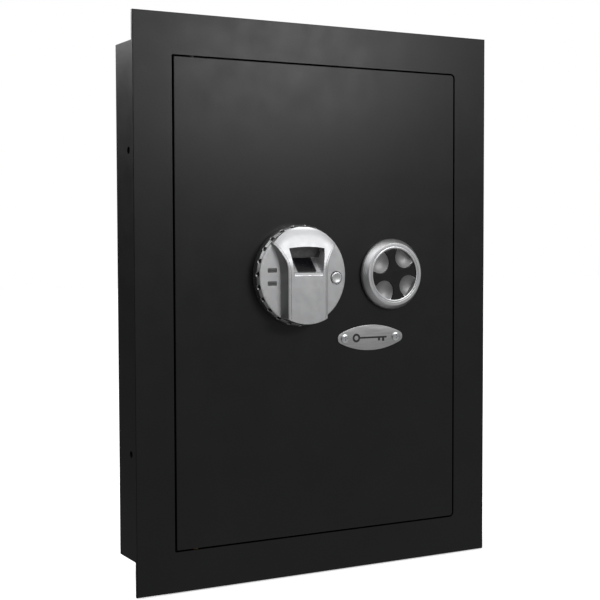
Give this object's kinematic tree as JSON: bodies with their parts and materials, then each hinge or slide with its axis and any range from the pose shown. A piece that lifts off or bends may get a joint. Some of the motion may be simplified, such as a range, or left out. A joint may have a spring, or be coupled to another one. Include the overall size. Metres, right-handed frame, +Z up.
{
  "type": "wall safe",
  "caption": "Recessed wall safe with a flush hinged door, fingerprint reader, turning knob, sliding bolts and emergency key lock.",
  "frame": {"origin": "on the wall surface, at the centre of the wall cut-out that the body fills", "axes": "+X to the right of someone facing the door, +Y into the wall, +Z up"},
  "size_m": [0.402, 0.123, 0.55],
  "materials": {
    "powder_coat": "satin black powder coat",
    "zinc_steel": "zinc plated",
    "spring_steel": "bright",
    "bolt_chrome": "polished",
    "brass": "turned",
    "key_chrome": "polished",
    "copper": "lacquered winding",
    "silver_plastic": "satin silver paint",
    "black_gloss": "gloss",
    "black_plastic": "satin",
    "nylon": "moulded",
    "rubber": "matt",
    "felt": "felt",
    "board_green": "solder mask",
    "cable_black": "sheath",
    "cell_label": "printed sleeve",
    "sensor_glass": "coated",
    "plate_metal": "satin",
    "red_plastic": "gloss"
  },
  "bodies": {
    "body": {"front_flange": "powder_coat", "body_tray": "powder_coat", "hinge_blocks": "powder_coat", "hinge_pins": "zinc_steel", "hinge_washer": "brass", "strike_bar": "powder_coat", "door_stops": "powder_coat", "door_stop_pads": "rubber", "shelf_lower": "powder_coat", "shelf_upper": "powder_coat", "shelf_brackets": "powder_coat", "floor_mat": "felt"},
    "door": {"door_panel": "powder_coat", "hinge_knuckles": "powder_coat", "lock_case": "powder_coat", "bolt_bushes": "nylon", "inner_cover": "powder_coat", "inner_cover_screws": "zinc_steel", "guide_studs": "zinc_steel", "knob_bush": "brass", "knob_bush_nut": "zinc_steel", "knob_washer": "nylon", "scanner_ring": "silver_plastic", "scanner_face": "silver_plastic", "sensor_glass": "sensor_glass", "led_lenses": "black_plastic", "scanner_pcb": "board_green", "scanner_screws": "zinc_steel", "scanner_cable": "cable_black", "control_board": "board_green", "board_standoffs": "zinc_steel", "battery_holder": "black_plastic", "battery_holder_feet": "black_plastic", "battery_cells": "cell_label", "solenoid_frame": "zinc_steel", "solenoid_coil": "copper", "plunger_spring": "spring_steel", "button_spring": "spring_steel", "key_cylinder": "key_chrome", "key_cylinder_nut": "zinc_steel", "cover_plate": "plate_metal", "cover_plate_screws": "bolt_chrome", "reset_switch": "black_plastic"},
    "knob": {"knob_body": "silver_plastic", "knob_grip": "black_gloss", "knob_screw": "zinc_steel", "knob_spindle": "zinc_steel", "spindle_clip": "zinc_steel", "crank_plate": "zinc_steel"},
    "bolts": {"bolt_carriage": "zinc_steel", "locking_bolts": "bolt_chrome", "bolt_screws": "zinc_steel"},
    "plunger": {"solenoid_plunger": "zinc_steel"},
    "key_plug": {"key_plug": "brass", "key_cam": "zinc_steel", "key_cam_screw": "zinc_steel"},
    "start_button": {"start_button": "silver_plastic"},
    "reset_button": {"reset_button": "red_plastic"},
    "battery_cover": {"battery_cover": "black_plastic"}
  },
  "joints": [
    {"name": "door_hinge", "type": "hinge", "parent": "body", "child": "door", "pos_m": [-0.138, 0.0045, 0], "axis": [0, 0, -1], "range_deg": [0, 110]},
    {"name": "bolt_slide", "type": "slide", "parent": "door", "child": "bolts", "axis": [-1, 0, 0], "range_m": [-0.016, 0]},
    {"name": "knob_turn", "type": "hinge", "parent": "door", "child": "knob", "pos_m": [0.081, 0, 0.026], "axis": [0, 1, 0], "range_deg": [-60, 0]},
    {"name": "solenoid_plunger_slide", "type": "slide", "parent": "door", "child": "plunger", "axis": [0, 0, -1], "range_m": [-0.0065, 0], "stiffness_N_per_m": 60, "springref_m": -0.0095, "deforming": ["plunger_spring"]},
    {"name": "key_turn", "type": "hinge", "parent": "door", "child": "key_plug", "pos_m": [0.0566, 0, -0.0387], "axis": [0, 1, 0], "range_deg": [0, 90]},
    {"name": "start_button_press", "type": "slide", "parent": "door", "child": "start_button", "axis": [0, 1, 0], "range_m": [0, 0.0012], "stiffness_N_per_m": 300, "springref_m": -0.0008, "deforming": ["button_spring"]},
    {"name": "reset_button_press", "type": "slide", "parent": "door", "child": "reset_button", "axis": [0, -1, 0], "range_m": [0, 0.001], "stiffness_N_per_m": 300, "springref_m": -0.0008},
    {"name": "battery_cover_slide", "type": "slide", "parent": "door", "child": "battery_cover", "axis": [0, 0, 1], "range_m": [0, 0.07]}
  ],
  "couplings": [
    {"joint": "knob_turn", "follows": "bolt_slide", "rad_per_m": 65.45}
  ]
}
